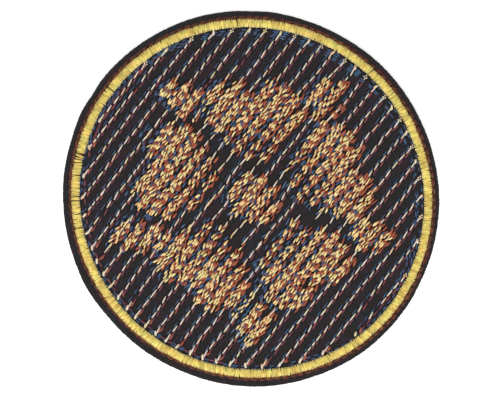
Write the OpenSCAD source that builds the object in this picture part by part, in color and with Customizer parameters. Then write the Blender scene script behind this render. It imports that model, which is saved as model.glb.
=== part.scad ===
// Round embroidered clothing patch, lying face up.
// The origin is the middle of the back face, +Z points out of the stitched face,
// and +Y is the top of the picture.

/* [Cloth] */
// Width of the cut cloth
patch_w = 90; // [80:1:100]
// Thickness of the twill with its stiff backing
cloth_t = 1.2; // [1:0.1:2]
// Mean width of the cloth left outside the border
margin_w = 2; // [1.6:0.1:4]

/* [Border] */
// Width of the satin stitches of the border
border_w = 2.1; // [1.5:0.1:3]
// Height of the border above the cloth
border_rise = 0.8; // [0.5:0.1:1.2]
// How far the border is pulled out of round, longer across the stripes
border_pull = 0.65; // [0:0.05:0.8]
// Width of the thin row of stitches outside the border
outline_w = 0.5; // [0.3:0.1:0.8]
// Height of the thin row of stitches outside the border
outline_rise = 0.3; // [0.2:0.1:0.5]
// Width of the thin row of stitches inside the border
inner_w = 0.4; // [0.3:0.1:0.6]
// Height of the thin row of stitches inside the border
inner_rise = 0.35; // [0.2:0.05:0.6]

/* [Stitched lines] */
// Slant of the stitched lines, in degrees up to the right
stripe_angle = 51; // [30:1:60]
// Number of stitched lines across the field
stripe_count = 27; // [21:2:29]
// Width of a stitched line where it is plain
stripe_w = 1.2; // [0.8:0.1:1.4]
// Height of a stitched line where it is plain
stripe_rise = 0.4; // [0.3:0.05:0.6]
// Clear cloth between two filled bands
band_gap = 0.35; // [0.3:0.05:0.6]
// Height of a filled band
band_rise = 0.75; // [0.5:0.05:1]
// How strongly the stitching has pulled the lines out of their even places
pull = 1; // [0:0.1:1]

/* [Blossom] */
// Number of petals
petal_count = 5; // [4:1:7]
// Distance from the middle to the tip of a petal
petal_reach = 30; // [24:0.5:32]
// Depth of the notch in a petal's rim
petal_notch = 4.2; // [0:0.2:5]
// Clear width between two petals
petal_gap = 2.4; // [1:0.1:3]
// Distance from the middle to the foot of a petal
petal_foot = 8.8; // [7:0.2:11]
// Radius of the round heart
heart_r = 5.6; // [4:0.2:6.4]
// Distance from the middle to the tip of a leaf
leaf_reach = 36.5; // [32:0.5:37]
// Half the width of a leaf
leaf_half = 4.6; // [2.5:0.1:5]

/* [Hidden] */
stripe_names = [for (i = [1:stripe_count]) str("hatch_line_", i)];

// The hand-cut edge: [angle in degrees, how far it strays outwards from a true circle]
cut_edge = [
    [0, 0.07], [13, -0.14], [28, -0.31], [48, -0.31], [60, -0.48], [72, -0.38],
    [84, -0.07], [90, -0.17], [94, 0.05], [106, 0.33], [121, 0.5], [141, 0.62],
    [147, 0.33], [153, 0.55], [162, 0.14], [171, 0.1], [182, -0.14], [201, -0.38],
    [207, -0.29], [220, -0.74], [237, -0.65], [250, -0.6], [262, -0.26], [276, -0.02],
    [291, 0.1], [306, 0.38], [327, 0.33], [333, 0.17], [345, 0.14], [360, 0.07]
];
cut_step = 3;

// Section of the border: [share of the width from the inside, share of the height]
satin_section = [[0, 0], [1, 0], [1, 0.45], [0.82, 0.85], [0.5, 1], [0.18, 0.85], [0, 0.45]];
// Section of a thin row of stitches, in the same columns
run_section = [[0, 0], [1, 0], [0.8, 1], [0.2, 1]];
// Section of a stitched line: [share of the half width, share of the height]
stripe_section = [[-1, 0], [1, 0], [0.7, 0.82], [0, 1], [-0.7, 0.82]];
satin_turns = 84;
run_turns = 60;

// Clear space between the cloth and the stitches, and between the border and the rows beside it
layer_gap = 0.02;
side_gap = 0.1;
stitch_z = cloth_t + layer_gap;

// Where the border's middle sits from the middle of the cloth
border_at = [0.16, 0.12];
border_r = patch_w / 2 - margin_w;
// Half widths of an oval: [along the stripes, across the stripes]
border_out = [border_r - border_pull, border_r + border_pull];
border_in = border_out - [border_w, border_w];
run_in = border_in - [inner_w + side_gap, inner_w + side_gap];
// The lines end this far inside the inner row
end_gap = 0.25;
field = run_in - [end_gap, end_gap];

// Clear cloth between the first line and the field's edge
first_gap = 0.6;
pitch = 2 * (field[1] - stripe_w / 2 - first_gap) / (stripe_count - 1);
band_w = pitch - band_gap;
// How far across the pull moves a line: in the middle of the field, then what each power of the
// place across adds, then what the place along adds by itself and together with the place across,
// and what its square adds. Places count in parts of pull_reach.
pull_reach = 40;
pull_across = [0.945, 1.22, -0.336, -0.386];
pull_along = [-0.173, 0.714];
pull_bow = -0.456;
// The pull brings no line closer than this to the field's edge
last_gap = 0.25;

// Width over which an outline of the blossom fades out
edge_soft = 2;
heart_soft = 1.2;
leaf_soft = 1;
// How far a petal's rim falls back at its sides, as a share of its reach
petal_droop = 0.3;
// Angle over which the notch fades out
notch_turn = 6.5;
// How full the stitching is in the shaded foot of a petal, and from where to where it fills up
petal_shade = 0.3;
shade_from = 12;
shade_to = 24;
// Where a leaf starts, how blunt and how full it is, and the clear cloth between it and the petals
leaf_start = 17;
leaf_blunt = 0.7;
leaf_tone = 0.85;
leaf_clear = 1.5;

// The blossom and this much round it has close sections, and the plain lines have wide ones
art_r = leaf_reach + 1;
fine_step = 1.7;
coarse_step = 4;
shortest_step = 1;

function smooth(low, high, x) =
    let (t = min(1, max(0, (x - low) / (high - low)))) t * t * (3 - 2 * t);

// Angle from the nearest of some equal spokes, the first of them at a given angle
function fold(angle, first) =
    let (spoke = 360 / petal_count) angle - first - spoke * round((angle - first) / spoke);

function petal_rim(turn) =
    let (side = abs(turn) * petal_count / 180)
    petal_reach * (1 - petal_droop * pow(side, 3)) - petal_notch * exp(-pow(turn / notch_turn, 2));

function petal_fill(r, turn) =
    let (to_side = r * sin(180 / petal_count - abs(turn)))
    smooth(0, edge_soft, petal_rim(turn) - r)
    * smooth(petal_gap / 2, petal_gap / 2 + edge_soft, to_side)
    * smooth(petal_foot, petal_foot + edge_soft, r)
    * (petal_shade + (1 - petal_shade) * smooth(shade_from, shade_to, r));

function leaf_fill(r, turn) =
    let (
        share = min(1, max(0, (r - leaf_start) / (leaf_reach - leaf_start))),
        half = leaf_half * pow(sin(180 * share), leaf_blunt),
        rim = petal_rim(180 / petal_count - abs(turn))
    )
    leaf_tone
    * smooth(0, leaf_soft, half - abs(r * sin(turn)))
    * smooth(0, leaf_soft, r - rim - leaf_clear)
    * smooth(0, edge_soft, leaf_reach - r);

// How full the stitching is at a place in the field, from 0, a plain line, to 1, a filled band
function fill_at(x, y) =
    let (
        r = norm([x, y]),
        angle = atan2(y, x),
        petal = petal_fill(r, fold(angle, 90)),
        leaf = leaf_fill(r, fold(angle, 90 + 180 / petal_count)),
        heart = smooth(0, heart_soft, heart_r + heart_soft / 2 - r)
    )
    max(petal, leaf, heart);

// Faces of a solid through sections of equal point counts, in a ring or with end caps
function wall_faces(sections, points, closed) = [
    for (i = [0:sections - (closed ? 1 : 2)])
        for (j = [0:points - 1])
            let (next = (i + 1) % sections, side = (j + 1) % points)
            [i * points + j, i * points + side, next * points + side, next * points + j]
];
function cap_faces(sections, points) = [
    [for (j = [points - 1:-1:0]) j],
    [for (j = [0:points - 1]) (sections - 1) * points + j]
];

module swept(sections, closed) {
    count = len(sections);
    points = len(sections[0]);
    caps = closed ? [] : cap_faces(count, points);
    polyhedron(
        points = [for (section = sections) each section],
        faces = concat(wall_faces(count, points, closed), caps)
    );
}

// Turns what is drawn along and across the stripes into its place on the patch
module on_stripes() {
    translate([border_at[0], border_at[1], 0])
        rotate([0, 0, stripe_angle])
            children();
}

// An oval band of stitches: its inner half widths, its own width and height, and its section
module stitched_ring(inside, width, rise, section, turns) {
    sections = [
        for (i = [0:turns - 1])
            let (angle = -360 * i / turns)
            [for (p = section) [
                (inside[0] + p[0] * width) * cos(angle),
                (inside[1] + p[0] * width) * sin(angle),
                stitch_z + p[1] * rise
            ]]
    ];
    on_stripes() swept(sections, true);
}

// Even stops from one place up to the last before another
function stops(from, to, step) =
    let (count = ceil((to - from) / step))
    [for (i = [0:1:count - 1]) from + (to - from) * i / count];

// How far across a line runs, after the pull, whose even place is given
function line_middle(along, across) =
    let (
        u = along / pull_reach,
        v = across / pull_reach,
        level = pull_across[0] + v * (pull_across[1] + v * (pull_across[2] + v * pull_across[3])),
        tilt = u * (pull_along[0] + v * pull_along[1])
    )
    min(across + pull * (level + tilt + pull_bow * u * u), field[1] - stripe_w / 2 - last_gap);

// Where the field ends along the stripes, for a line this far across
function field_end(across) =
    let (corner = (abs(across) + stripe_w / 2) / field[1])
    field[0] * sqrt(1 - corner * corner);

// Where a line ends, to one side, -1 or 1
function line_end(across, side) =
    side * field_end(line_middle(side * field_end(line_middle(0, across)), across));

function line_stops(across) =
    let (
        ends = [line_end(across, -1), line_end(across, 1)],
        middle = line_middle(0, across),
        near = sqrt(max(0, art_r * art_r - middle * middle)),
        art = [for (end = ends) abs(end) - near < shortest_step ? end : sign(end) * near]
    )
    concat(
        stops(ends[0], art[0], coarse_step),
        stops(art[0], art[1], fine_step),
        stops(art[1], ends[1], coarse_step),
        [ends[1]]
    );

module hatch_line(number) {
    across = (number - (stripe_count + 1) / 2) * pitch;
    sections = [
        for (along = line_stops(across))
            let (
                middle = line_middle(along, across),
                x = along * cos(stripe_angle) - middle * sin(stripe_angle),
                y = along * sin(stripe_angle) + middle * cos(stripe_angle),
                fill = fill_at(x, y),
                half = (stripe_w + (band_w - stripe_w) * fill) / 2,
                rise = stripe_rise + (band_rise - stripe_rise) * fill
            )
            [for (p = stripe_section) [along, middle + p[0] * half, stitch_z + p[1] * rise]]
    ];
    color([0.78, 0.62, 0.36]) on_stripes() swept(sections, false);
}

// The black twill, cut round by hand, with the middle of its box on the origin
module ground_fabric() {
    outline = [
        for (angle = [0:cut_step:360 - cut_step])
            (patch_w / 2 + lookup(angle, cut_edge)) * [cos(angle), sin(angle)]
    ];
    xs = [for (p = outline) p[0]];
    ys = [for (p = outline) p[1]];
    color([0.11, 0.1, 0.1])
        translate([-(min(xs) + max(xs)) / 2, -(min(ys) + max(ys)) / 2, 0])
            linear_extrude(height = cloth_t)
                polygon(outline);
}

// The raised yellow border of satin stitches
module border_satin() {
    color([0.87, 0.77, 0.4])
        stitched_ring(border_in, border_w, border_rise, satin_section, satin_turns);
}

// The thin dark red row of stitches that hugs the outside of the border
module outline_stitch() {
    inside = border_out + [side_gap, side_gap];
    color([0.42, 0.16, 0.13])
        stitched_ring(inside, outline_w, outline_rise, run_section, run_turns);
}

// The thin blue row of stitches that joins the ends of the lines
module inner_run() {
    color([0.16, 0.36, 0.66])
        stitched_ring(run_in, inner_w, inner_rise, run_section, run_turns);
}

ground_fabric();
border_satin();
outline_stitch();
inner_run();
for (i = [1:stripe_count])
    hatch_line(i);
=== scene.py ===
import math
import random
import bpy
import numpy as np
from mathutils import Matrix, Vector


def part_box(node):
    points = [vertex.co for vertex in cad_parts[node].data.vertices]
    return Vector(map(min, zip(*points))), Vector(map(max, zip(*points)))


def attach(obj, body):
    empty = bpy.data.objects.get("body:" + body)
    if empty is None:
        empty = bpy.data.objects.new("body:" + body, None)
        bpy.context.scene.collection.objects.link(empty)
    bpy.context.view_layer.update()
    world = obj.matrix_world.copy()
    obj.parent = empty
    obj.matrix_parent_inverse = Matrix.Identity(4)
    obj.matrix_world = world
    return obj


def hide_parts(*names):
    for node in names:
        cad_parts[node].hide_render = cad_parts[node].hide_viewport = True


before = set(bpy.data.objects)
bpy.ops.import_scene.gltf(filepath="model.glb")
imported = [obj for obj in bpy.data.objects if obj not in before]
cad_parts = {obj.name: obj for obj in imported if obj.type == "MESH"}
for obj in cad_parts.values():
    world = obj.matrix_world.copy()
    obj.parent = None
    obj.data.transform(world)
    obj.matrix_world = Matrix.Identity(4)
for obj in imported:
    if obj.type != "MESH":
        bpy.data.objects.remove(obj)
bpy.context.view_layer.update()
mm = 0.001

# Sizes are in millimetres and degrees unless a note says metres. Meshes and trees have metres and radians.
patch = {
    "borderAt": (0.16, 0.12),
    "stripeAngle": 51.0,
    "borderOut": (42.35, 43.65),  # half widths of an oval: along the stripes, across them
    "borderWidth": 2.1,
}
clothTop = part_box("ground_fabric")[1][2] / mm
stripeTurn = math.radians(patch["stripeAngle"])
stripeX, stripeY = math.cos(stripeTurn), math.sin(stripeTurn)


# Places on the patch

def smooth(low, high, x):
    t = np.clip((x - low) / (high - low), 0, 1)
    return t * t * (3 - 2 * t)


def toPatch(along, across):
    x = along * stripeX - across * stripeY + patch["borderAt"][0]
    y = along * stripeY + across * stripeX + patch["borderAt"][1]
    return x, y


def toStripes(x, y):
    x, y = x - patch["borderAt"][0], y - patch["borderAt"][1]
    return x * stripeX + y * stripeY, y * stripeX - x * stripeY


def inset(distance):
    # half widths of the oval this far inside the border's outer edge
    return tuple(half - distance for half in patch["borderOut"])


def onOval(halves, turn):
    # places along and across the stripes, round an oval
    return halves[0] * np.cos(turn), halves[1] * np.sin(turn)


def insideBorder(x, y):
    # how far a point lies inside the border's outer edge
    along, across = toStripes(x, y)
    halfAlong, halfAcross = patch["borderOut"]
    share = np.hypot(along / halfAlong, across / halfAcross)
    return (1 - share) * np.hypot(along, across) / np.maximum(share, 0.01)


# The blossom, given by how full the stitching is

blossom = {
    "petals": 5, "firstPetal": 90, "petalReach": 30.0, "petalDroop": 0.3,
    "petalGap": 2.4, "petalFoot": 8.8, "notch": 4.2, "notchTurn": 6.5,
    "shade": 0.3, "shadeFrom": 12.0, "shadeTo": 24.0,
    "heart": 5.6, "heartSoft": 1.2,
    "leafStart": 17.0, "leafReach": 36.5, "leafHalf": 4.6, "leafBlunt": 0.7,
    "leafTone": 0.85, "leafClear": 1.5, "leafSoft": 1.0,
    "soft": 2.0,
}


def fold(angle, first):
    spoke = 360 / blossom["petals"]
    return angle - first - spoke * np.round((angle - first) / spoke)


def petalRim(turn):
    b = blossom
    side = np.abs(turn) * b["petals"] / 180
    notch = b["notch"] * np.exp(-(turn / b["notchTurn"]) ** 2)
    return b["petalReach"] * (1 - b["petalDroop"] * side ** 3) - notch


def fillAt(along, across):
    b = blossom
    x, y = toPatch(along, across)
    x, y = x - patch["borderAt"][0], y - patch["borderAt"][1]
    r = np.hypot(x, y)
    angle = np.degrees(np.arctan2(y, x))
    halfSpoke = 180 / b["petals"]
    turn = fold(angle, b["firstPetal"])
    toSide = r * np.sin(np.radians(halfSpoke - np.abs(turn)))
    petal = smooth(0, b["soft"], petalRim(turn) - r)
    petal = petal * smooth(b["petalGap"] / 2, b["petalGap"] / 2 + b["soft"], toSide)
    petal = petal * smooth(b["petalFoot"], b["petalFoot"] + b["soft"], r)
    petal = petal * (b["shade"] + (1 - b["shade"]) * smooth(b["shadeFrom"], b["shadeTo"], r))
    turn = fold(angle, b["firstPetal"] + halfSpoke)
    share = np.clip((r - b["leafStart"]) / (b["leafReach"] - b["leafStart"]), 0, 1)
    half = b["leafHalf"] * np.sin(np.pi * share) ** b["leafBlunt"]
    leaf = b["leafTone"] * smooth(0, b["leafSoft"], half - np.abs(r * np.sin(np.radians(turn))))
    leaf = leaf * smooth(0, b["leafSoft"], r - petalRim(halfSpoke - np.abs(turn)) - b["leafClear"])
    leaf = leaf * smooth(0, b["soft"], b["leafReach"] - r)
    heart = smooth(0, b["heartSoft"], b["heart"] + b["heartSoft"] / 2 - r)
    return np.maximum(np.maximum(petal, leaf), heart)


# The stitched lines

lines = {
    "count": 27,
    "fieldInset": 2.85,
    "firstGap": 1.2,
    "lastGap": 0.25,
    "plainHalf": 0.6,
    "bandHalf": 1.44,
    # how far across the stitching has pulled a line out of its even place: in the middle of the field, what
    # each power of the place across adds, and what the place along adds, alone and with the place across
    "pullReach": 40.0,
    "pullAcross": (0.945, 1.22, -0.336, -0.386),
    "pullAlong": (-0.173, 0.714),
    "pullBow": -0.456,
    "wobble": 0.09,
    "wobbleLengths": (9.0, 17.0),
    "endInsets": (2.8, 2.6),  # at the lower left end and the upper right one
    "breath": 0.36,  # how much a band narrows and widens along its way
    "breathLength": 5.6,
    "breathDrift": 1.7,
    "step": 0.25,
    "seed": 11,
}
field = inset(lines["fieldInset"])
pitch = 2 * (field[1] - lines["firstGap"]) / (lines["count"] - 1)
wobblePhases = np.random.default_rng(lines["seed"]).random((lines["count"] + 1, len(lines["wobbleLengths"])))


def linePull(along, across):
    u, v = along / lines["pullReach"], across / lines["pullReach"]
    level = sum(share * v ** k for k, share in enumerate(lines["pullAcross"]))
    return level + u * (lines["pullAlong"][0] + v * lines["pullAlong"][1]) + lines["pullBow"] * u * u


def lineAcross(number, along=0.0):
    # how far across the patch a line runs, after the pull
    even = (number - (lines["count"] + 1) / 2) * pitch
    return np.minimum(even + linePull(along, even), field[1] - lines["plainHalf"] - lines["lastGap"])


def lineCentre(number, along):
    # the same with the small wobble of a stitched line
    across = lineAcross(number, along)
    hold = 1 - (across / field[1]) ** 2
    for k, length in enumerate(lines["wobbleLengths"]):
        wave = np.sin(2 * np.pi * (along / length + wobblePhases[number, k]))
        across = across + hold * lines["wobble"] * wave
    return across


def lineEnds(number):
    ends = []
    for side, distance in zip((-1, 1), lines["endInsets"]):
        halfAlong, halfAcross = inset(distance)
        end = 0.0
        for closer in range(3):
            end = side * halfAlong * math.sqrt(1 - (lineAcross(number, end) / halfAcross) ** 2)
        ends.append(end)
    return ends


def lineWidth(number, along, fill):
    # half the width of a line, which swells into a row of lens shapes where it is filled
    drift = lines["breathDrift"] * wobblePhases[number, 0] * number
    swell = 0.5 + 0.5 * np.sin(2 * np.pi * (along / lines["breathLength"] + drift))
    return lines["plainHalf"] + (lines["bandHalf"] - lines["breath"] * swell - lines["plainHalf"]) * fill


# Rows of stitches: chains of points, each with its height, how much it is filling, its pace and its girth

threads = {
    "blue": {
        "shift": (-0.68, 0.06), "spread": (-0.002, 0.002), "phase": 0.5, "rimInset": 0.05, "weave": 0.1,
        "fillShift": (-0.6, 0.2), "fillPhase": 0.6, "plainLift": 0.04, "fillLift": 0.12, "threadHeight": 0.32,
        "threadWidth": 0.5, "fillWidth": 0.45, "gap": 0.35, "fillGap": 0.8, "leftOut": 0.05, "seed": 3,
        # side, first and last line, distances inside the drawn edge of the border, how full
        "links": [(1, 1, 12, (1.75, 2.8, 3.2), 0.4), (1, 13, 19, (2.15, 2.6, 3.1, 3.6), 0.8),
                  (1, 20, 26, (2.75, 3.2, 3.6), 0.6), (-1, 1, 9, (2.1, 2.65), 0.3),
                  (-1, 10, 26, (2.75, 3.3), 0.4)],
        # -1 at the lower right or 1 at the upper left, half the turn, distance inside that edge, how full
        "arcs": [(-1, 24.0, 1.95, 0.6), (1, 26.0, 3.0, 0.5)],
        # what locks the ends of a line: 0 at the lower left, 1 at the upper right
        "knots": {},
    },
    "red": {
        "shift": (0.6, -0.02), "spread": (0.0, 0.001), "phase": 0.5, "rimInset": 0.15, "weave": 0.1,
        "fillShift": (0.5, 0.0), "fillPhase": 0.34, "plainLift": 0.06, "fillLift": 0.22, "threadHeight": 0.34,
        "threadWidth": 0.54, "fillWidth": 0.52, "gap": 0.15, "fillGap": 0.5, "leftOut": 0.02, "seed": 5,
        "links": [(-1, 8, 26, (2.6,), 0.0)],
        "arcs": [(1, 20.0, 2.7, 0.0)],
        "knots": {0: "doubled"},
    },
    "cream": {
        "shift": (0.0, 0.0), "spread": (0.0, 0.0), "phase": 0.0, "rimInset": 0.3, "weave": 0.13,
        "fillShift": (0.0, 0.0), "fillPhase": 0.0, "plainLift": 0.18, "fillLift": 0.4, "threadHeight": 0.4,
        "threadWidth": 0.43, "fillWidth": 0.45, "gap": 0.16, "fillGap": 0.98, "leftOut": 0.03, "seed": 7,
        "links": [], "arcs": [],
        "knots": {0: "knot", 1: "knot"},
    },
}
stitching = {
    "stitchLength": 2.5,
    "uneven": 0.06,  # how much the length of stitch differs from one stretch to the next, as a share
    "shortStitch": 1.65,
    "shortShare": 0.35,  # of the line ends, those that close with short stitches
    "shortReach": (5.0, 8.0),
    "fillStitch": 2.38,
    "fillRows": 7,
    "fillSoft": 0.2,
    "weaveLength": 7.4,
    "weaveDrift": 2.3,
    "endTuck": 0.95,
    "fillTuck": 0.5,
    "fillFrom": 0.1,  # the least fill that is stitched as a band
    "rimFrom": 0.76,  # the least half width that gets rows at its rims
    "innerFrom": 0.46,  # and how much more the rows next to the middle take
    "shortest": 0.5,
    "shortestFill": 1.4,
    "linkStitch": 1.9,
    "linkOver": 0.4,
    "linkPoints": 24,
    "arcPoints": 60,
    "loopPoints": 13,
    "knot": {"long": 0.2, "wide": 0.0, "stitch": 1.85, "girth": 1.5, "turn": 20, "back": 0.0, "full": 0.3},
    "loop": {"long": 0.95, "wide": 0.6, "stitch": 0.62, "girth": 1.0, "turn": 10, "back": 0.1, "full": 0.5},
    "doubled": {"long": 0.3, "wide": 0.0, "stitch": 2.0, "girth": 1.35, "turn": 0, "back": 1.0, "full": 0.6},
    "lean": 6.0, "turnJitter": 6.0, "fillJitter": 17.0, "slip": 0.09, "fillSlip": 0.12,
}


def runs(held):
    # the stretches where a condition holds, as pairs of first and last place
    marks = np.flatnonzero(np.diff(np.concatenate(([0], held.astype(int), [0]))))
    return list(zip(marks[::2], marks[1::2] - 1))


def widened(first, last, more=2):
    # a stretch and a few points beyond each end
    return slice(max(0, first - more), last + more + 1)


def wayAlong(points):
    return np.concatenate(([0], np.cumsum(np.hypot(*np.diff(points[:, :2], axis=0).T))))


def shortened(points, first, last):
    # the row without so many millimetres at each end
    way = wayAlong(points)
    left = way[-1] - first - last
    if left < stitching["shortest"]:
        return None
    wanted = np.linspace(first, way[-1] - last, max(2, int(left / lines["step"])))
    return np.column_stack([np.interp(wanted, way, points[:, k]) for k in range(points.shape[1])])


def passRow(colour, along, across, full, stitch):
    # a row as one colour's pass over the cloth lays it, a little beside the others
    thread = threads[colour]
    x, y = toPatch(along, across)
    reach = 1 + thread["spread"][0] * x + thread["spread"][1] * y
    full = full + np.zeros(len(x))
    lift = thread["plainLift"] + (thread["fillLift"] - thread["plainLift"]) * full
    pace = np.full(len(x), stitch / stitching["stitchLength"])
    x, y = x + thread["shift"][0] * reach, y + thread["shift"][1] * reach
    return np.column_stack((x, y, lift, full, pace, np.ones(len(x))))


def inStep(colour, points, stitch):
    # a plain row cut so that its stitches stand beside the gaps of the cream ones
    thread = threads[colour]
    tuck = stitching["endTuck"] * stitch / stitching["stitchLength"]
    left = wayAlong(points)[-1] - 2 * tuck
    step = left / max(1, round(left / stitch))
    along = thread["shift"][0] * stripeX + thread["shift"][1] * stripeY
    ahead = (thread["phase"] * step - along) % step if thread["phase"] else 0.0
    return shortened(points, tuck + ahead, tuck + (step - ahead if ahead else 0.0))


def bricked(points, startAlong, phase):
    # a filling row cut so that its stitches lie out of step with those beside them
    stitch = stitching["fillStitch"]
    tuck = stitching["fillTuck"]
    total = wayAlong(points)[-1]
    first = tuck + (phase * stitch - startAlong - tuck) % stitch
    if total - tuck - first < stitch:
        return shortened(points, tuck, tuck)
    return shortened(points, first, tuck + (total - tuck - first) % stitch)


def plainParts(number, first, last):
    # a plain stretch in up to three parts, each with its own length of stitch, the same for every colour
    rng = random.Random(number * 1000 + int(first))
    parts = []
    for closing in (False, True):
        size = int(rng.uniform(*stitching["shortReach"]) / lines["step"])
        if rng.random() < stitching["shortShare"] and last - first > 3 * size:
            if closing:
                parts.append((last - size, last, stitching["shortStitch"]))
                last = last - size
            else:
                parts.append((first, first + size, stitching["shortStitch"]))
                first = first + size
    share = rng.uniform(1 - stitching["uneven"], 1 + stitching["uneven"])
    return parts + [(first, last, stitching["stitchLength"] * share)]


def stitchRows(colour):
    thread = threads[colour]
    awayX, awayY = thread["fillShift"]
    reach = stitching["fillRows"] // 2
    rows = []
    for number in range(1, lines["count"] + 1):
        start, end = lineEnds(number)
        along = np.linspace(start, end, int((end - start) / lines["step"]))
        centre = lineCentre(number, along)
        # each colour is filled in a little aside of the others
        fill = fillAt(along - awayX * stripeX - awayY * stripeY, centre + awayX * stripeY - awayY * stripeX)
        half = lineWidth(number, along, fill)
        full = smooth(0, stitching["fillSoft"], fill)
        for first, last in runs(fill <= stitching["fillFrom"]):
            for low, high, stitch in plainParts(number, first, last):
                part = widened(low, high)
                row = passRow(colour, along[part], centre[part], full[part], stitch)
                rows.append(inStep(colour, row, stitch))
        # rows from rim to rim, which stray apart and together again
        drift = stitching["weaveDrift"] * wobblePhases[number, 1]
        wave = 2 * np.pi * (along / stitching["weaveLength"] + drift)
        for side in range(-reach, reach + 1):
            share = side / reach
            stray = thread["weave"] * np.sin(wave + math.pi * side) * full
            beside = share * (half - thread["rimInset"]) + stray
            held = fill > stitching["fillFrom"]
            if side:
                held &= half > stitching["rimFrom"] + stitching["innerFrom"] * (1 - abs(share))
            for first, last in runs(held):
                if (last - first) * lines["step"] < stitching["shortestFill"] and side:
                    continue
                part = widened(first, last)
                across = (centre + beside)[part]
                row = passRow(colour, along[part], across, full[part], stitching["fillStitch"])
                # no row is in step with the next, and the colours of one row take turns
                step = random.Random(int(number * 100 + 10 * side + first // 20)).random()
                rows.append(bricked(row, along[part][0], step + thread["fillPhase"]))
    return [row for row in rows if row is not None]


def linkRows(colour):
    # the steps from one line to the next along the border
    s = stitching
    rows = []
    for side, first, last, distances, full in threads[colour]["links"]:
        for number in range(first, last + 1):
            if side != (1 if number % 2 else -1):
                continue
            spots = [lineAcross(n, lineEnds(n)[(side + 1) // 2]) for n in (number, number + 1)]
            for distance in distances:
                across = np.linspace(spots[0] - s["linkOver"], spots[1] + s["linkOver"], s["linkPoints"])
                halfAlong, halfAcross = inset(distance)
                along = side * halfAlong * np.sqrt(np.maximum(0, 1 - (across / halfAcross) ** 2))
                rows.append(passRow(colour, along, across, full, s["linkStitch"]))
    # and the rows that follow the border beyond the first and the last line
    for side, reach, distance, full in threads[colour]["arcs"]:
        turn = np.radians(90 * side + np.linspace(-reach, reach, s["arcPoints"]))
        rows.append(passRow(colour, *onOval(inset(distance), turn), full, s["linkStitch"]))
    return rows


def knotRows(colour):
    # what locks a line at its ends: a thick stitch, or at every second upper right end a small loop of cream
    rows = []
    for number in range(1, lines["count"] + 1):
        for side, kind in threads[colour]["knots"].items():
            k = stitching["loop" if side and number % 2 else kind]
            spots = np.array([0.0, np.pi])
            if k["wide"]:
                spots = np.linspace(0, 2 * np.pi, stitching["loopPoints"])
            u, v = k["long"] / 2 * np.cos(spots), k["wide"] / 2 * np.sin(spots)
            turn = np.radians(k["turn"])
            along = lineEnds(number)[side] + (1 - 2 * side) * k["back"] + u * np.cos(turn) - v * np.sin(turn)
            across = lineCentre(number, along[:1]) + u * np.sin(turn) + v * np.cos(turn)
            row = passRow(colour, along, across, k["full"], k["stitch"])
            row[:, 5] = k["girth"]
            rows.append(row)
    return rows


# Objects, meshes and materials

def addObject(name, data):
    made = bpy.data.objects.new(name, data)
    bpy.context.collection.objects.link(made)
    return made


def newMesh(name, points, edges=(), faces=(), uvs=None):
    mesh = bpy.data.meshes.new(name)
    mesh.from_pydata(points, edges, faces)
    if uvs is not None:
        mesh.uv_layers.new(name="threadUv").data.foreach_set("uv", np.ravel(uvs))
        mesh.polygons.foreach_set("use_smooth", [True] * len(faces))
    return mesh


def quads(*corners):
    return np.column_stack([corner.ravel() for corner in corners]).tolist()


def newMaterial(name):
    material = bpy.data.materials.new(name)
    material.use_nodes = True
    return material, material.node_tree, material.node_tree.nodes["Principled BSDF"].inputs


def rowsObject(name, rows):
    points, edges = [], []
    for row in rows:
        start = len(points)
        points += [(x * mm, y * mm, (clothTop + lift) * mm) for x, y, lift in row[:, :3]]
        edges += [(start + i, start + i + 1) for i in range(len(row) - 1)]
    mesh = newMesh(name, points, edges)
    for column, attribute in ((3, "full"), (4, "pace"), (5, "girth")) if rows else ():
        values = np.concatenate([row[:, column] for row in rows])
        mesh.attributes.new(attribute, "FLOAT", "POINT").data.foreach_set("value", values)
    return addObject(name, mesh)


# Thread shapes, one metre long, wide and high, which the trees below size and place

def threadShape(name, stations, sides=6, flat=1.0):
    # stations: place along from -0.5 to 0.5, height of the middle, radius
    verts, faces, uvs = [], [], []
    inner = stations[1:-1]
    for x, z, radius in inner:
        for k in range(sides):
            a = 2 * math.pi * (k + 0.5) / sides
            verts.append((x, radius * math.cos(a), z + flat * radius * math.sin(a)))
    tips = len(verts)
    verts += [(x, 0, z) for x, z, radius in (stations[0], stations[-1])]
    for k in range(sides):
        n, v0, v1 = (k + 1) % sides, k / sides, (k + 1) / sides
        for i in range(len(inner) - 1):
            u0, u1 = inner[i][0] + 0.5, inner[i + 1][0] + 0.5
            faces.append((i * sides + k, (i + 1) * sides + k, (i + 1) * sides + n, i * sides + n))
            uvs += [u0, v0, u1, v0, u1, v1, u0, v1]
        last = (len(inner) - 1) * sides
        faces += [(tips, k, n), (tips + 1, last + n, last + k)]
        u0, u1 = inner[0][0] + 0.5, inner[-1][0] + 0.5
        uvs += [0, v0, u0, v0, u0, v1, 1, v1, u1, v1, u1, v0]
    made = addObject(name, newMesh(name, verts, faces=faces, uvs=uvs))
    made.hide_render = True
    return made


runningShape = threadShape("runningShape", [
    (-0.5, -1.0, 0), (-0.44, -0.6, 0.28), (-0.26, -0.08, 0.46),
    (0.0, 0.0, 0.5), (0.26, -0.08, 0.46), (0.44, -0.6, 0.28), (0.5, -1.0, 0),
])
satinShape = threadShape("satinShape", [
    (-0.5, -0.15, 0), (-0.485, 0.24, 0.38), (-0.41, 0.54, 0.47), (-0.24, 0.76, 0.5), (0.0, 0.84, 0.5),
    (0.24, 0.76, 0.5), (0.41, 0.54, 0.47), (0.485, 0.24, 0.38), (0.5, -0.15, 0),
], flat=0.34)


# Nodes: a value is a number or another node's socket, whose tree the new node joins

def isSocket(value):
    return isinstance(value, bpy.types.NodeSocket)


def treeOf(*values):
    return next(value for value in values if isSocket(value)).id_data


def feed(sockets, values):
    # links each socket to a value, or sets it
    for key, value in values.items():
        if isSocket(value):
            value.id_data.links.new(value, sockets[key])
        else:
            sockets[key].default_value = value


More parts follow.
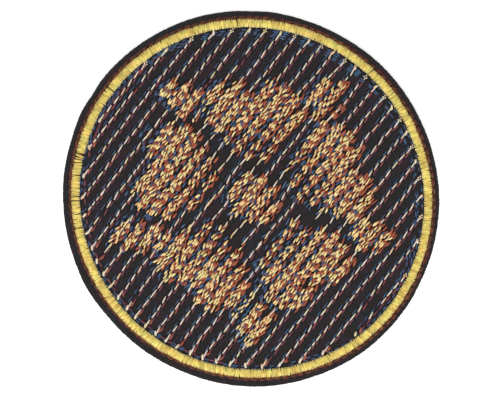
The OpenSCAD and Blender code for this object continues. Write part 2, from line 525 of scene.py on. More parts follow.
def addNode(tree, kind, inputs=None, **settings):
    made = tree.nodes.new(kind)
    for key, value in settings.items():
        setattr(made, key, value)
    feed(made.inputs, inputs or {})
    return made


def calc(operation, a, b=0.0):
    return addNode(treeOf(a, b), "ShaderNodeMath", {0: a, 1: b}, operation=operation).outputs[0]


def plus(a, b):
    return calc("ADD", a, b)


def less(a, b):
    return calc("SUBTRACT", a, b)


def times(a, b):
    return calc("MULTIPLY", a, b)


def mixedValue(factor, a, b):
    return plus(a, times(factor, less(b, a)))


def mixed(factor, a, b, blend="MIX"):
    return addNode(treeOf(factor), "ShaderNodeMix", {0: factor, 6: a, 7: b},
                   data_type="RGBA", blend_type=blend).outputs[2]


def ramp(value, low, high, atLow=0.0, atHigh=1.0):
    return addNode(treeOf(value), "ShaderNodeMapRange", {
        "Value": value, "From Min": low, "From Max": high, "To Min": atLow, "To Max": atHigh,
    }).outputs[0]


def noiseAt(place, scale, detail=2.0):
    values = {"Vector": place, "Scale": scale, "Detail": detail}
    return addNode(treeOf(place), "ShaderNodeTexNoise", values).outputs


def vector(**parts):
    return addNode(treeOf(*parts.values()), "ShaderNodeCombineXYZ", parts).outputs[0]


def axisOf(place, axis):
    return addNode(treeOf(place), "ShaderNodeSeparateXYZ", {0: place}).outputs[axis]


def between(low, high, seed, extra):
    # an even random number for each stitch, where extra keeps one draw apart from the next
    made = addNode(treeOf(seed), "FunctionNodeRandomValue", data_type="FLOAT")
    feed({s.name: s for s in made.inputs if s.enabled}, {"Min": low, "Max": high, "Seed": plus(seed, extra)})
    return [s for s in made.outputs if s.enabled][0]


def eitherWay(size, seed, extra):
    return between(times(size, -1.0), size, seed, extra)


def newGroup(name, kind, inputs, outputs):
    # a tree with named sockets: a number is a socket's first value, a word its kind
    group = bpy.data.node_groups.new(name, kind)
    for way, sockets in (("INPUT", inputs), ("OUTPUT", outputs)):
        for key, value in sockets.items():
            word = value if isinstance(value, str) else "Int" if isinstance(value, int) else "Float"
            socket = group.interface.new_socket(key, in_out=way, socket_type="NodeSocket" + word)
            if word != value:
                socket.default_value = value
    return group, group.nodes.new("NodeGroupInput").outputs, group.nodes.new("NodeGroupOutput").inputs


# Trees that lay the stitches

def turnedAlong(axis, angle):
    # a stitch's turn: with one axis along the row, and turned by an angle from there
    tree = treeOf(angle)
    tangent = tree.nodes.new("GeometryNodeInputTangent").outputs[0]
    facing = addNode(tree, "FunctionNodeAlignRotationToVector", {"Vector": tangent},
                     axis=axis, pivot_axis="Z")
    spin = addNode(tree, "FunctionNodeEulerToRotation", {0: vector(Z=angle)})
    return addNode(tree, "FunctionNodeRotateRotation", {
        "Rotation": facing.outputs[0], "Rotate By": spin.outputs[0],
    }, rotation_space="LOCAL").outputs[0]


def placeStitches(given, out, row, offset, turned, size, leftOut):
    # puts the thread shape on the row's points, leaves a few out, and gives each a shade of its own
    tree = treeOf(row)
    seed = given["Seed"]
    moved = addNode(tree, "GeometryNodeSetPosition", {"Geometry": row, "Offset": offset})
    shape = addNode(tree, "GeometryNodeObjectInfo", {"Object": given["Stitch"]})
    kept = addNode(tree, "FunctionNodeCompare", {0: between(0.0, 1.0, seed, 20), 1: leftOut},
                   operation="GREATER_EQUAL")
    placed = addNode(tree, "GeometryNodeInstanceOnPoints", {
        "Points": moved.outputs[0], "Selection": kept.outputs[0], "Instance": shape.outputs["Geometry"],
        "Rotation": turned, "Scale": size,
    })
    stored = addNode(tree, "GeometryNodeStoreNamedAttribute", {
        "Geometry": placed.outputs[0], "Name": "shade", "Value": between(0.0, 1.0, seed, 21),
    }, data_type="FLOAT", domain="INSTANCE")
    real = addNode(tree, "GeometryNodeRealizeInstances", {0: stored.outputs[0]})
    painted = addNode(tree, "GeometryNodeSetMaterial", {
        "Geometry": real.outputs[0], "Material": given["Material"],
    })
    feed(out, {"Geometry": painted.outputs[0]})


def carried(tree, name):
    # a value that the chain of points carries
    node = addNode(tree, "GeometryNodeInputNamedAttribute", {"Name": name}, data_type="FLOAT")
    return [s for s in node.outputs if s.enabled and s.name == "Attribute"][0]


def runningTree():
    # stitches in a row along each chain of points
    tree, given, out = newGroup("runningStitch", "GeometryNodeTree", {
        "Geometry": "Geometry", "Stitch": "Object", "Material": "Material", "Seed": 1,
        "Stitch Length": 0.00236, "Length Jitter": 0.07,
        "Least Step": 0.85,  # the least distance from stitch to stitch, as a share of the wanted one
        "Gap": 0.0006, "Fill Gap": 0.0003,
        "Thread Width": 0.00036, "Fill Width": 0.00044,
        "Fill Width Jitter": 0.3,
        "Thread Height": 0.0003,
        "Lean": 0.12,
        "Fill Upright": 0.7,  # how much less a filling leans, as a share
        "Turn Jitter": 0.05, "Fill Jitter": 0.05,
        "Slip": 0.00005,
        "Fill Loose": 0.9,  # how much more a filling slips aside
        "Lift Share": 0.6,  # of the slip, how much is up and down
        "Fill Slip": 0.0,
        "Left Out": 0.0,
    }, {"Geometry": "Geometry"})
    seed = given["Seed"]
    full, pace, girth = (carried(tree, name) for name in ("full", "pace", "girth"))
    short = calc("MINIMUM", pace, 1.0)
    wanted = times(given["Stitch Length"], pace)
    curve = addNode(tree, "GeometryNodeMeshToCurve", {0: given["Geometry"]})
    spline = tree.nodes.new("GeometryNodeSplineLength").outputs
    steps = calc("MAXIMUM", calc("ROUND", calc("DIVIDE", spline["Length"], wanted)), 1.0)
    even = addNode(tree, "GeometryNodeResampleCurve", {"Curve": curve.outputs[0], "Count": plus(steps, 1.0)},
                   mode="COUNT")
    parts = calc("MAXIMUM", less(spline["Point Count"], 1.0), 1.0)
    step = calc("MAXIMUM", calc("DIVIDE", spline["Length"], parts), times(wanted, given["Least Step"]))
    step = times(step, plus(eitherWay(given["Length Jitter"], seed, 1), 1.0))
    gap = times(mixedValue(full, given["Gap"], given["Fill Gap"]), short)
    jitter = eitherWay(mixedValue(full, given["Turn Jitter"], given["Fill Jitter"]), seed, 2)
    lean = times(given["Lean"], less(1.0, times(full, given["Fill Upright"])))
    wide = times(mixedValue(full, given["Thread Width"], given["Fill Width"]), girth)
    wide = times(wide, plus(eitherWay(times(full, given["Fill Width Jitter"]), seed, 6), 1.0))
    size = vector(X=less(step, gap), Y=wide, Z=given["Thread Height"])
    loose = times(times(given["Slip"], plus(times(full, given["Fill Loose"]), 1.0)), short)
    lift = mixedValue(full, times(given["Slip"], given["Lift Share"]), given["Fill Slip"])
    slip = vector(X=eitherWay(loose, seed, 3), Y=eitherWay(loose, seed, 4), Z=eitherWay(lift, seed, 5))
    turned = turnedAlong("X", plus(lean, jitter))
    placeStitches(given, out, even.outputs[0], slip, turned, size, given["Left Out"])
    return tree


def satinTree():
    # stitches side by side across an oval ring, slanting one way and then the other
    tree, given, out = newGroup("satinRing", "GeometryNodeTree", {
        "Geometry": "Geometry", "Stitch": "Object", "Material": "Material", "Seed": 1,
        "Stitches": 1060,
        "Half Along": 0.0413, "Half Across": 0.0426, "Oval Turn": 0.89, "Middle": "Vector",
        "Width": 0.0021, "Wider": 0.0001, "Width Jitter": 0.0001,
        "Thread Width": 0.00034,
        "Rise": 0.0008, "Rise Jitter": 0.06,
        "Zigzag": 0.05, "Turn Jitter": 0.02,
        "Wander": 0.0001,
        "Wander Scale": 700.0, "Wander Gain": 6.0,  # the noise that it follows, and how much that is raised
        "Left Out": 0.004,
        "Loose Towards": "Vector", "Loose Reach": 0.26, "Loose Share": 0.08,
    }, {"Geometry": "Geometry"})
    seed = given["Seed"]
    circle = addNode(tree, "GeometryNodeCurvePrimitiveCircle", {
        "Resolution": given["Stitches"], "Radius": 1.0,
    })
    oval = addNode(tree, "GeometryNodeTransform", {
        "Geometry": circle.outputs[0], "Scale": vector(X=given["Half Along"], Y=given["Half Across"], Z=1.0),
    })
    ring = addNode(tree, "GeometryNodeTransform", {
        "Geometry": oval.outputs[0], "Rotation": vector(Z=given["Oval Turn"]), "Translation": given["Middle"],
    })
    index = tree.nodes.new("GeometryNodeInputIndex").outputs[0]
    slant = less(times(calc("MODULO", index, 2.0), 2.0), 1.0)
    angle = plus(times(slant, given["Zigzag"]), eitherWay(given["Turn Jitter"], seed, 1))
    place = tree.nodes.new("GeometryNodeInputPosition").outputs[0]
    outward = addNode(tree, "ShaderNodeVectorMath", {0: place}, operation="NORMALIZE").outputs[0]
    facingLoose = addNode(tree, "ShaderNodeVectorMath", {0: outward, 1: given["Loose Towards"]},
                          operation="DOT_PRODUCT").outputs["Value"]
    wide = plus(given["Width"], times(facingLoose, given["Wider"]))
    wide = plus(wide, eitherWay(given["Width Jitter"], seed, 2))
    low = less(1.0, between(0.0, given["Rise Jitter"], seed, 3))
    size = vector(X=wide, Y=given["Thread Width"], Z=times(given["Rise"], low))
    # the ring strays a little in and out, and is loose on one side
    stray = less(noiseAt(place, given["Wander Scale"], detail=3.0)["Fac"], 0.5)
    stray = times(stray, times(given["Wander"], given["Wander Gain"]))
    aside = addNode(tree, "ShaderNodeVectorMath", {0: outward, "Scale": stray}, operation="SCALE").outputs[0]
    near = calc("GREATER_THAN", facingLoose, calc("COSINE", given["Loose Reach"]))
    leftOut = plus(given["Left Out"], times(near, given["Loose Share"]))
    placeStitches(given, out, ring.outputs[0], aside, turnedAlong("Y", angle), size, leftOut)
    return tree


# Values that a dictionary has in millimetres and in degrees, named as the trees' sockets
lengthKeys = ("stitchLength", "gap", "fillGap", "threadWidth", "fillWidth", "threadHeight", "slip",
              "fillSlip", "halfAlong", "halfAcross", "width", "wider", "widthJitter", "wander", "rise")
angleKeys = ("lean", "turnJitter", "fillJitter", "ovalTurn", "zigzag", "looseReach")


def inSocketUnits(key, value):
    if key in lengthKeys:
        return value * mm
    return math.radians(value) if key in angleKeys else value


def baked(name, rows, tree, values):
    # lays stitches along the rows and leaves a plain mesh
    source = rowsObject(name + "Source", rows)
    modifier = source.modifiers.new(tree.name, "NODES")
    modifier.node_group = tree
    for item in tree.interface.items_tree:
        key = item.name[:1].lower() + item.name[1:].replace(" ", "")
        if item.item_type == "SOCKET" and item.in_out == "INPUT" and key in values:
            modifier[item.identifier] = inSocketUnits(key, values[key])
    bpy.context.view_layer.update()
    mesh = bpy.data.meshes.new_from_object(source.evaluated_get(bpy.context.evaluated_depsgraph_get()))
    source.modifiers.remove(modifier)
    bpy.data.objects.remove(source)
    mesh.name = name
    print(name, len(mesh.polygons), "faces")
    return addObject(name, mesh)


# Thread finishes

def rgb(red, green, blue):
    # a screen colour from 0 to 255, as linear values
    parts = (red / 255, green / 255, blue / 255)
    return tuple(c / 12.92 if c <= 0.04045 else ((c + 0.055) / 1.055) ** 2.4 for c in parts) + (1.0,)


twist = {
    "plyRound": 0.6,
    "grooveNarrow": 2.0,
    # the ends' masks: a painted highlight on both ends of a stitch, painted shade on its outer end
    "endFade": 1.6,
    "farEnd": (0.84, 0.96),  # shares of the way along
    "top": 1 / 6,  # share of the way round
    # painted shade down a thread's two sides, between these shares of the way round
    "side": (0.1, 0.25),  # shares of the way round, from the top
}


def twistGroup():
    # plies wound round a thread, with fine fibres along them, and the masks where shade and highlight are
    # painted
    group, given, out = newGroup("threadTwist", "ShaderNodeTree", {
        "Turns": 3.0, "Plies": 2.0, "Fibres": 7.0, "Fibre Depth": 0.12,
    }, dict.fromkeys(("Height", "Groove", "End", "Far End", "Side"), "Float"))
    uv = addNode(group, "ShaderNodeUVMap", uv_map="threadUv").outputs[0]
    lengthwise, around = axisOf(uv, "X"), axisOf(uv, "Y")
    phase = plus(times(lengthwise, given["Turns"]), times(around, given["Plies"]))
    ply = calc("ABSOLUTE", calc("SINE", times(phase, math.pi)))
    fibre = calc("SINE", times(times(phase, given["Fibres"]), 2 * math.pi))
    toEnd = times(calc("ABSOLUTE", less(lengthwise, 0.5)), 2.0)
    # painted shade: a thread is painted darker down its two sides
    off = calc("ABSOLUTE", less(calc("FRACT", plus(around, 0.5 - twist["top"])), 0.5))
    feed(out, {
        "Height": plus(calc("POWER", ply, twist["plyRound"]), times(fibre, given["Fibre Depth"])),
        # painted shade in the grooves between the plies
        "Groove": calc("POWER", less(1.0, ply), twist["grooveNarrow"]),
        # masks for the painted highlight at both ends and the painted shade at the outer end
        "End": calc("POWER", toEnd, twist["endFade"]),
        "Far End": ramp(lengthwise, *twist["farEnd"]),
        "Side": ramp(off, *twist["side"]),
    })
    return group


threadTwist = twistGroup()
# side and groove: how strongly painted shade darkens a thread down its sides and in the grooves between its
# plies
threadBasics = {
    "turns": 2.6, "side": 0.35, "groove": 0.4, "relief": 0.4, "depth": 0.04,
    # endShare: how strongly the painted highlight and painted shade at a stitch's ends show
    "cloudScale": 800.0, "cloudFrom": 0.3, "cloudTo": 0.7, "endShare": 0.7,
    "castScale": 450.0, "castShare": 0.5, "warmAt": 0.36, "coolAt": 0.64,
    "rough": (0.39, 0.53), "sheen": 0.05, "sheenRough": 0.4, "shine": 0.35,
}
# what differs; filling and fillTint are as plain and tint where they aren't given
threadLooks = {
    "cream": {
        "plain": rgb(215, 211, 205), "filling": rgb(240, 217, 160), "shadow": rgb(98, 60, 26),
        "tint": (0.68, 0.63, 0.6, 1), "fillTint": (0.74, 0.61, 0.4, 1),
        "warm": rgb(235, 184, 128), "cool": rgb(216, 214, 146), "castShare": 0.62, "castScale": 340.0,
        "side": 0.8, "groove": 0.3, "rough": (0.36, 0.5), "sheen": 0.15, "shine": 0.5,
    },
    "red": {
        "plain": rgb(98, 47, 60), "filling": rgb(170, 90, 54), "shadow": rgb(44, 14, 14),
        "tint": (0.5, 0.44, 0.44, 1), "fillTint": (0.55, 0.46, 0.42, 1),
        "warm": rgb(158, 66, 52), "cool": rgb(106, 52, 76),
    },
    "blue": {
        "plain": rgb(42, 62, 88), "filling": rgb(68, 92, 126), "shadow": rgb(8, 14, 36),
        "tint": (0.45, 0.5, 0.62, 1), "fillTint": (0.5, 0.54, 0.64, 1),
        "warm": rgb(88, 78, 100), "cool": rgb(40, 96, 116),
    },
    "satin": {
        "plain": rgb(246, 225, 106), "shadow": rgb(124, 88, 26), "tint": (0.42, 0.36, 0.24, 1),
        # a painted highlight at both ends of each stitch, and painted shade at its outer end
        "end": rgb(248, 238, 184), "farEnd": rgb(206, 140, 60),
        "warm": rgb(244, 202, 104), "cool": rgb(222, 220, 122), "castScale": 700.0,
        "side": 0.52, "groove": 0.18, "turns": 3.4, "cloudScale": 620.0,
        "rough": (0.36, 0.5), "sheen": 0.1, "shine": 0.5,
    },
    "outline": {
        "plain": rgb(82, 40, 32), "filling": rgb(142, 88, 36), "shadow": rgb(30, 12, 6),
        "tint": (0.34, 0.22, 0.18, 1), "fillTint": (0.4, 0.3, 0.18, 1),
        "warm": rgb(124, 50, 36), "cool": rgb(72, 44, 36), "castShare": 0.7, "castScale": 900.0,
        "side": 0.5, "turns": 2.4, "cloudScale": 1100.0, "rough": (0.44, 0.58), "shine": 0.3,
    },
    # laid threads under the satin, in a dark gold that is partly painted shade of the gaps between the satin
    # stitches
    "pad": {
        "plain": rgb(108, 74, 20), "shadow": rgb(60, 40, 10), "tint": (0.8, 0.74, 0.6, 1),
        "side": 0.5, "groove": 0.2, "turns": 3.4, "cloudScale": 90.0, "rough": (0.64, 0.78), "shine": 0.3,
    },
}


def coat(tree, shader, look, colour, cloud, height):
    # the rest of a finish, whose roughness goes with its clouds
    bump = addNode(tree, "ShaderNodeBump", {
        "Height": height, "Strength": look["relief"], "Distance": look["depth"] * mm,
    })
    feed(shader, {
        "Base Color": colour,
        "Roughness": ramp(cloud, 0.0, 1.0, *look["rough"]),
        "Normal": bump.outputs[0],
        "Sheen Weight": look["sheen"],
        "Sheen Roughness": look["sheenRough"],
        "Specular IOR Level": look["shine"],
    })


def threadFinish(name, look):
    # rayon thread: glossy plies, each stitch a little lighter or darker than the next
    look = {**threadBasics, **look}
    material, tree, shader = newMaterial(name)
    shade, full = (addNode(tree, "ShaderNodeAttribute", attribute_name=word).outputs["Fac"]
                   for word in ("shade", "full"))
    place = tree.nodes.new("ShaderNodeTexCoord").outputs["Object"]
    cloud = ramp(noiseAt(place, look["cloudScale"])["Fac"], look["cloudFrom"], look["cloudTo"])
    wound = addNode(tree, "ShaderNodeGroup", {"Turns": look["turns"]}, node_tree=threadTwist).outputs
    light = mixed(full, look["plain"], look.get("filling", look["plain"]))
    # painted light: a stitch is paler at both ends as a painted highlight, and darker orange at its outer end
    # as painted shade
    for key, end in (("end", "End"), ("farEnd", "Far End")):
        if key in look:
            light = mixed(times(wound[end], look["endShare"]), light, look[key])
    if "warm" in look:
        patches = noiseAt(place, look["castScale"])["Color"]
        cast = addNode(tree, "ShaderNodeSeparateColor", {0: patches}).outputs[1]
        for key in ("warm", "cool"):
            light = mixed(ramp(cast, 0.5, look[key + "At"], 0.0, look["castShare"]), light, look[key])
    tint = mixed(full, look["tint"], look.get("fillTint", look["tint"]))
    shown = mixed(plus(times(shade, 0.5), times(cloud, 0.5)), light, tint, "MULTIPLY")
    # painted shade: each thread is darkened towards its shadow colour in the grooves between its plies and
    # down its sides
    for key, part in (("groove", "Groove"), ("side", "Side")):
        shown = mixed(times(wound[part], look[key]), shown, look["shadow"])
    coat(tree, shader, look, shown, cloud, wound["Height"])
    return material


threadMaterials = {name: threadFinish(name + "Thread", look) for name, look in threadLooks.items()}
print("thread finishes made")


# The black cloth

cloth = {
    "cells": 190,
    "sunk": 0.05,  # how far it lies under the solid's top
    "edgeRound": 0.3,
    "edgeFray": 0.05,
    "frayLimits": (-2, 1.2),
    "frayKept": 0.6,  # from one row of the edge to the next
    # down the cut edge: distance inside the outline, share of the height, share of the fray
    "edgeRows": [(0.06, 0.94, 0.4), (0.0, 0.72, 1.0), (0.03, 0.4, 1.0), (0.05, 0.12, 0.6), (0.2, 0.0, 0.2)],
    "lineDip": 0.16,
    "lineDipWidth": 0.75,
    "lineDipAside": 0.05,
    "lineDipTug": 0.25,
    "lineDipSoft": (-0.4, 0.8),
    "fillDip": 0.1,
    "borderDip": 0.12,
    "borderDipBeside": (0.45, 0.25),  # outside and inside the ring
    "borderDipWidth": 0.4,
    "ripple": 0.05,
    "rippleBends": ((1.1, 2.0, 0.7), (1.3, 1.5, 0.6)),  # pace of a wave, its bend and the bend's pace
    "rimNear": 0.01,  # how near the top a point of the solid's rim lies
    "faceDown": -0.9,  # a face that points this far down is part of the back
    "backCorners": 96,
    "backShare": 0.96,
    "seed": 4,
    "finish": {
        "dark": rgb(11, 9, 9), "light": rgb(29, 23, 23), "cloudScale": 60.0,
        "bluish": rgb(10, 28, 36), "ruddy": rgb(40, 20, 30), "castShare": 0.55, "castScale": 320.0,
        "castFrom": 0.5, "castTo": 0.66,
        "lint": rgb(80, 74, 76), "lintShare": 0.4, "lintFrom": 0.56, "lintTo": 0.75,
        "ribPitch": 0.62, "yarnPitch": 0.3, "depth": 0.08, "relief": 0.5,
        "rough": (0.82, 0.95), "sheen": 0.06, "sheenRough": 0.6, "shine": 0.22,
    },
}
weave = {
    # axis, what it strays by the bends, its share of the height
    "Rib Pitch": ("X", 0.8, 0.6),
    "Yarn Pitch": ("Y", 0.6, 0.4),
    "bendScale": 300.0, "fibreScale": 2600.0, "fibreShare": 0.7,
}


def twillGroup():
    # slanting ribs of a twill, broken up by the yarns that cross them
    group, given, out = newGroup("twillWeave", "ShaderNodeTree", {
        "Rib Pitch": 0.0005, "Yarn Pitch": 0.0003, "Rib Turn": 0.79,
    }, {"Height": "Float", "Fibre": "Float"})
    place = group.nodes.new("ShaderNodeTexCoord").outputs["Object"]
    turned = addNode(group, "ShaderNodeVectorRotate", {
        "Vector": place, "Rotation": vector(Z=given["Rib Turn"]),
    }, rotation_type="EULER_XYZ").outputs[0]
    bend = noiseAt(place, weave["bendScale"])["Fac"]
    waves = []
    for spot, key in ((turned, "Rib Pitch"), (place, "Yarn Pitch")):
        axis, stray, share = weave[key]
        count = plus(calc("DIVIDE", axisOf(spot, axis), given[key]), times(bend, stray))
        waves.append(times(calc("SINE", times(count, 2 * math.pi)), share))
    fibre = noiseAt(place, weave["fibreScale"], detail=4.0)["Fac"]
    feed(out, {"Height": plus(plus(*waves), times(fibre, weave["fibreShare"])), "Fibre": fibre})
    return group


twillWeave = twillGroup()


def clothFinish(name, look):
    material, tree, shader = newMaterial(name)
    woven = addNode(tree, "ShaderNodeGroup", {
        "Rib Pitch": look["ribPitch"] * mm, "Yarn Pitch": look["yarnPitch"] * mm,
    }, node_tree=twillWeave).outputs
    place = tree.nodes.new("ShaderNodeTexCoord").outputs["Object"]
    cloud = noiseAt(place, look["cloudScale"], detail=4.0)["Fac"]
    shown = mixed(cloud, look["dark"], look["light"])
    tones = addNode(tree, "ShaderNodeSeparateColor", {0: noiseAt(place, look["castScale"])["Color"]}).outputs
    for index, key in enumerate(("bluish", "ruddy")):
        toward = ramp(tones[index], look["castFrom"], look["castTo"], 0.0, look["castShare"])
        shown = mixed(toward, shown, look[key])
    specks = ramp(woven["Fibre"], look["lintFrom"], look["lintTo"])
    shown = mixed(times(specks, look["lintShare"]), shown, look["lint"])
    coat(tree, shader, look, shown, cloud, woven["Height"])
    return material


def cutOutline():
    # the cut edge as the fixed frame has it: angles and distances from the middle
    spots = np.array([v.co[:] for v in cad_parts["ground_fabric"].data.vertices]) / mm
    rim = spots[np.abs(spots[:, 2] - clothTop) < cloth["rimNear"]]
    angle, reach = np.arctan2(rim[:, 1], rim[:, 0]), np.hypot(rim[:, 0], rim[:, 1])
    order = np.argsort(angle)
    return angle[order], reach[order]


def discGrid(cells):
    # a square grid pressed into a round one, so that its cells stay alike in size
    side = np.linspace(-1, 1, cells + 1)
    a, b = np.meshgrid(side, side)
    wide = np.abs(a) > np.abs(b)
    reach = np.where(wide, a, b)
    safe = np.where(reach == 0, 1, reach)
    turn = np.where(wide, np.pi / 4 * b / safe, np.pi / 2 - np.pi / 4 * a / safe)
    return reach * np.cos(turn), reach * np.sin(turn)


def clothRelief(x, y):
    # how the stitching pulls the cloth down, and how it swells between
    c = cloth
    away, across = toStripes(x, y)
    even = across - linePull(away, across - linePull(away, across))
    number = np.clip(np.round(even / pitch + (lines["count"] + 1) / 2), 1, lines["count"]).astype(int)
    off = across - lineCentre(number, away) + c["lineDipAside"]
    depth = insideBorder(x, y)
    inField = smooth(*(lines["endInsets"][1] + more for more in c["lineDipSoft"]), depth)
    fill = fillAt(away, across)
    tug = 1 + c["lineDipTug"] * np.sin(2 * np.pi * away / stitching["stitchLength"])
    dip = c["lineDip"] * tug * np.exp(-(off / c["lineDipWidth"]) ** 2) * inField * (1 - fill)
    down = dip + c["fillDip"] * fill
    for edge in (-c["borderDipBeside"][0], patch["borderWidth"] + c["borderDipBeside"][1]):
        down = down + c["borderDip"] * np.exp(-((depth - edge) / c["borderDipWidth"]) ** 2)
    waves = [np.sin(one * pace + bend * np.sin(other * bendPace))
             for one, other, (pace, bend, bendPace) in zip((x, y), (y, x), c["rippleBends"])]
    return c["ripple"] * (waves[0] * waves[1]) - down


def makeCloth():
    c = cloth
    angles, reaches = cutOutline()

    def outlineAt(angle):
        return np.interp(angle, angles, reaches, period=2 * np.pi)

    n = c["cells"]
    gx, gy = discGrid(n)
    flat = outlineAt(np.arctan2(gy, gx)) - c["edgeRound"]
    x, y = gx * flat, gy * flat
    z = clothTop - c["sunk"] + clothRelief(x, y)
    points = [np.column_stack((x.ravel(), y.ravel(), z.ravel()))]
    total = (n + 1) ** 2
    grid = np.arange(total).reshape(n + 1, n + 1)
    faces = quads(grid[:-1, :-1], grid[:-1, 1:], grid[1:, 1:], grid[1:, :-1])
    last = np.concatenate((grid[0, :-1], grid[:-1, -1], grid[-1, :0:-1], grid[:0:-1, 0]))
    count = len(last)
    rimAngle = np.arctan2(y.ravel()[last], x.ravel()[last])
    rimZ = z.ravel()[last]
    outer = outlineAt(rimAngle)
    rng = np.random.default_rng(c["seed"])
    fray = c["edgeFray"] * rng.standard_normal(count).clip(*c["frayLimits"])
    for inside, share, loose in c["edgeRows"]:
        reach = outer - inside + fray * loose
        row = np.arange(total, total + count)
        points.append(np.column_stack((reach * np.cos(rimAngle), reach * np.sin(rimAngle), rimZ * share)))
        faces += quads(last, row, np.roll(row, -1), np.roll(last, -1))
        fresh = (1 - c["frayKept"]) * c["edgeFray"] * rng.standard_normal(count).clip(*c["frayLimits"])
        fray = c["frayKept"] * fray + fresh
        last, total = row, total + count
    # the flat back: a ring of wide faces and one in the middle
    starts = list(range(0, count, count // c["backCorners"]))
    back = list(range(total, total + len(starts)))
    inner, turn = c["backShare"] * outer[starts], rimAngle[starts]
    points.append(np.column_stack((inner * np.cos(turn), inner * np.sin(turn), 0 * inner)))
    for i, (start, stop) in enumerate(zip(starts, starts[1:] + [count])):
        edge = [int(last[k % count]) for k in range(start, stop + 1)]
        faces.append(edge[::-1] + [back[i], back[(i + 1) % len(starts)]])
    faces.append(back[::-1])
    mesh = newMesh("groundCloth", np.concatenate(points) * mm, faces=faces)
    mesh.polygons.foreach_set("use_smooth", [len(face) == 4 for face in faces])
    mesh.materials.append(clothFinish("blackTwill", c["finish"]))
    return addObject("groundCloth", mesh)


groundCloth = makeCloth()


# The border

border = {
    "stitches": 1040,
    "outset": (0.11, -0.03),  # how far the stitches stray over the drawn edge, along and across the stripes
    "width": 2.07,
    "wider": 0.04,  # how much wider it is at the left than in its middle
    "widthJitter": 0.15,
    "wander": 0.1,
    "threadWidth": 0.29,
    "rise": 0.8,
    "riseJitter": 0.16,
    "zigzag": 2.0,
    "turnJitter": 2.4,
    "leftOut": 0.003,
    "looseTowards": (-1.0, 0.05, 0.0),
    "looseReach": 15.0,
    "looseShare": 0.09,
    "padRise": 0.58,
    "padInset": 0.24,
    "padSections": 240,
    "padProfile": [(0, -0.3), (0, 0.35), (0.18, 0.8), (0.5, 1), (0.82, 0.8), (1, 0.35), (1, -0.3)],
    "padThread": 2.0,
}


def ringHalves(distance):
    # half widths of the oval this far inside the ring's own outer edge
    return [half + stray for half, stray in zip(inset(distance), border["outset"])]


def makeBorderPad():
    # the laid threads under the satin stitches, whose dark gold also stands for painted shade in the gaps
    # between them
    b = border
    sections, rows = b["padSections"], len(b["padProfile"])
    wide = b["width"] - 2 * b["padInset"]
    turn = np.linspace(0, 2 * np.pi, sections + 1)[:-1]
    points = []
    for share, rise in b["padProfile"]:
        x, y = toPatch(*onOval(ringHalves(b["padInset"] + share * wide), turn))
        points.append(np.column_stack((x, y, np.full(sections, clothTop + b["padRise"] * rise))))
    here = np.arange(rows * sections).reshape(rows, sections)
    above = np.roll(here, -1, axis=0)
    faces = quads(here, np.roll(here, -1, axis=1), np.roll(above, -1, axis=1), above)
    across = np.tile([0, 0, 1, 1], rows * sections) / rows + np.repeat(np.arange(rows), 4 * sections) / rows
    around = np.tile([0, 1, 1, 0], rows * sections) + np.tile(np.repeat(np.arange(sections), 4), rows)
    uvs = np.column_stack((across, around * b["padThread"]))
    mesh = newMesh("borderPad", np.concatenate(points) * mm, faces=faces, uvs=uvs)
    mesh.materials.append(threadMaterials["pad"])
    return addObject("borderPad", mesh)


borderPad = makeBorderPad()
ringMiddle = ringHalves(border["width"] / 2)
borderSatin = baked("borderSatin", [], satinTree(), {
    **border,
    "stitch": satinShape, "material": threadMaterials["satin"],
    "halfAlong": ringMiddle[0], "halfAcross": ringMiddle[1], "ovalTurn": patch["stripeAngle"],
    "middle": (patch["borderAt"][0] * mm, patch["borderAt"][1] * mm, clothTop * mm),
})

# The thin row outside the border, and the three colours of the field

outline = {
    # distance outside the drawn edge, lift, how much paler
    "rows": [(0.63, 0.0, 0.0), (0.4, 0.04, 0.5), (0.16, 0.06, 1.0)],
    "points": 1200,
    "apart": 9.0,  # how far round the rows start from each other, in radians for each millimetre outside
    "shift": (0.05, 0.02),
    "stitchLength": 1.9, "gap": 0.0, "fillGap": 0.0, "threadWidth": 0.34, "fillWidth": 0.34,
    "threadHeight": 0.26, "lean": 5.0, "slip": 0.06, "seed": 9,
}


def outlineRows():
    rows = []
    for outside, lift, paler in outline["rows"]:
        turn = outside * outline["apart"] + np.linspace(0, 2 * np.pi, outline["points"])
        x, y = toPatch(*onOval(inset(-outside), turn))
        rest = np.ones((len(x), 4)) * (lift, paler, 1, 1)
        rows.append(np.column_stack((x + outline["shift"][0], y + outline["shift"][1], rest)))
    return rows


def laidThreads(name, rows, look):
    return baked(name + "Threads", rows, stitchInRows, {
        **look, "stitch": runningShape, "material": threadMaterials[name],
    })


stitchInRows = runningTree()
outlineThreads = laidThreads("outline", outlineRows(), outline)
colourThreads = {}
for colour, thread in threads.items():
    rows = stitchRows(colour) + linkRows(colour) + knotRows(colour)
    colourThreads[colour] = laidThreads(colour, rows, {**stitching, **thread})
for shape in (runningShape, satinShape):
    bpy.data.objects.remove(shape)
print("threads laid")

# What each piece stands for

clothSlots = {
    "ground_fabric": (groundCloth, "twill"),
    "border_satin": (borderSatin, "satin_thread"),
    "outline_stitch": (outlineThreads, "outline_thread"),
    "inner_run": (colourThreads["blue"], "inner_thread"),
}
for node, (piece, slot) in clothSlots.items():
    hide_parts(node)
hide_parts(*["hatch_line_%d" % n for n in range(1, lines["count"] + 1)])
for piece in (groundCloth, borderPad, borderSatin, outlineThreads, *colourThreads.values()):
    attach(piece, "root")

# Floor, light and camera

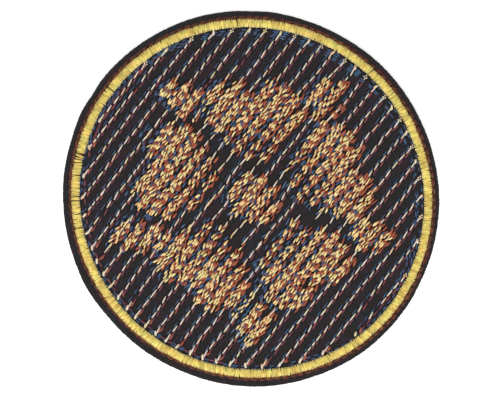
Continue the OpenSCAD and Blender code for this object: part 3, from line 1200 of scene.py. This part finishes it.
studio = {
    # metres
    "floorSize": 4.0,
    "cameraHeight": 0.6,
    "lampSize": 0.3,
    "lamps": {  # place and power
        "left": ((-0.5, -0.08, 0.44), 1.9), "right": ((0.5, -0.1, 0.46), 1.7),
        "near": ((-0.05, -0.52, 0.46), 2.9), "far": ((0.05, 0.5, 0.5), 0.4),
    },
    # millimetres
    "floorDrop": 0.05,
    "aim": (-0.27, -0.285),
    "sensor": 36.0,
    "viewWidth": 119.42,  # across the picture, on the patch
    # looks
    "floorColour": (0.95, 0.95, 0.95, 1),
    "floorRough": 0.9,
    "floorGlow": 0.3,
    "roomLight": 0.5,
}


def makeFloor():
    half = studio["floorSize"] / 2
    corners = [(-half, -half, 0), (half, -half, 0), (half, half, 0), (-half, half, 0)]
    made = addObject("floor", newMesh("floor", corners, faces=[(0, 1, 2, 3)]))
    material, tree, shader = newMaterial("paleFloor")
    feed(shader, {
        "Base Color": studio["floorColour"], "Roughness": studio["floorRough"],
        "Emission Color": (1, 1, 1, 1), "Emission Strength": studio["floorGlow"],
    })
    made.data.materials.append(material)
    made.location = (0, 0, -studio["floorDrop"] * mm)


def makeLights():
    for name, (place, power) in studio["lamps"].items():
        lamp = bpy.data.lights.new(name + "Lamp", "AREA")
        lamp.energy = power
        lamp.size = studio["lampSize"]
        made = addObject(name + "Lamp", lamp)
        made.location = place
        made.rotation_euler = (-made.location).to_track_quat("-Z", "Y").to_euler()
    world = bpy.data.worlds.new("studio")
    bpy.context.scene.world = world
    world.use_nodes = True
    feed(world.node_tree.nodes["Background"].inputs, {"Color": (1, 1, 1, 1), "Strength": studio["roomLight"]})


def makeCamera():
    lens = bpy.data.cameras.new("camera")
    lens.sensor_width = studio["sensor"]
    lens.lens = studio["sensor"] * studio["cameraHeight"] / (studio["viewWidth"] * mm)
    made = addObject("camera", lens)
    made.location = (studio["aim"][0] * mm, studio["aim"][1] * mm, studio["cameraHeight"] + clothTop * mm)
    bpy.context.scene.camera = made


makeFloor()
makeLights()
makeCamera()
bpy.context.scene.view_settings.view_transform = "Standard"
bpy.context.view_layer.update()
print("scene made")
